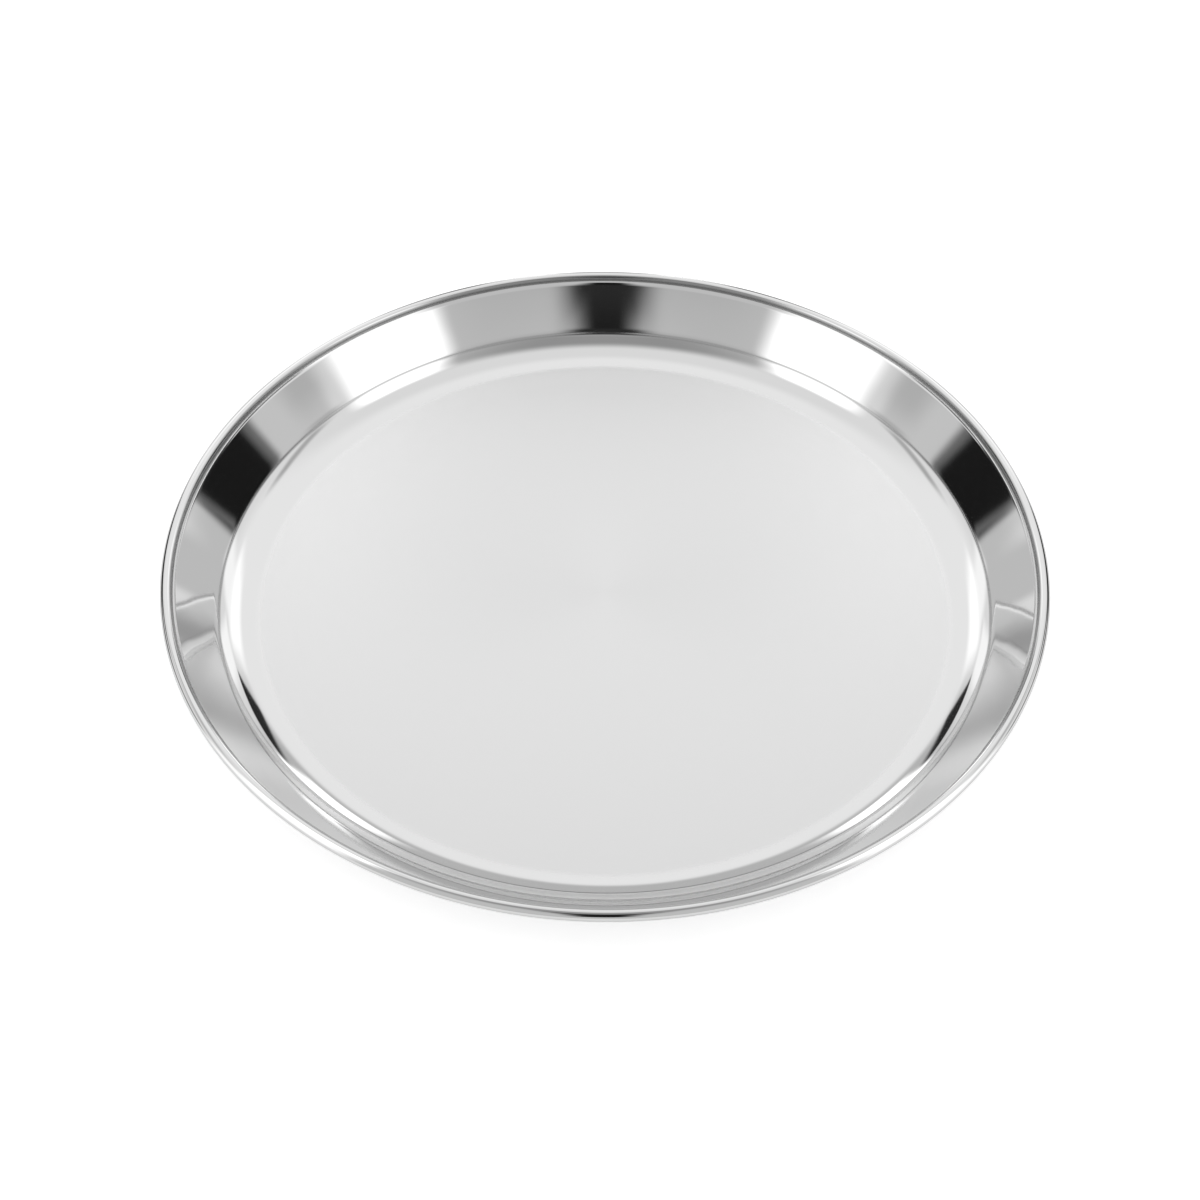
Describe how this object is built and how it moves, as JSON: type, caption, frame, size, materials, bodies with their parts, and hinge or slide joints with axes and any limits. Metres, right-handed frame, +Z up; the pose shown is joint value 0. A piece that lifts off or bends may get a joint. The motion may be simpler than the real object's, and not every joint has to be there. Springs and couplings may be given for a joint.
{
  "type": "plate",
  "caption": "Round pressed steel plate with a flat satin centre, a cove, a straight polished wall and a hollow curled bead as its rim.",
  "frame": {"origin": "centre of the flat underside, on the surface that the plate rests on", "axes": "+Z up along the axis of the round plate; X and Y are any two radii square to each other"},
  "size_m": [0.28, 0.28, 0.0225],
  "materials": {
    "steel": "satin centre, mirror polished cove, wall and bead"
  },
  "bodies": {
    "root": {"plate": "steel"}
  },
  "joints": []
}
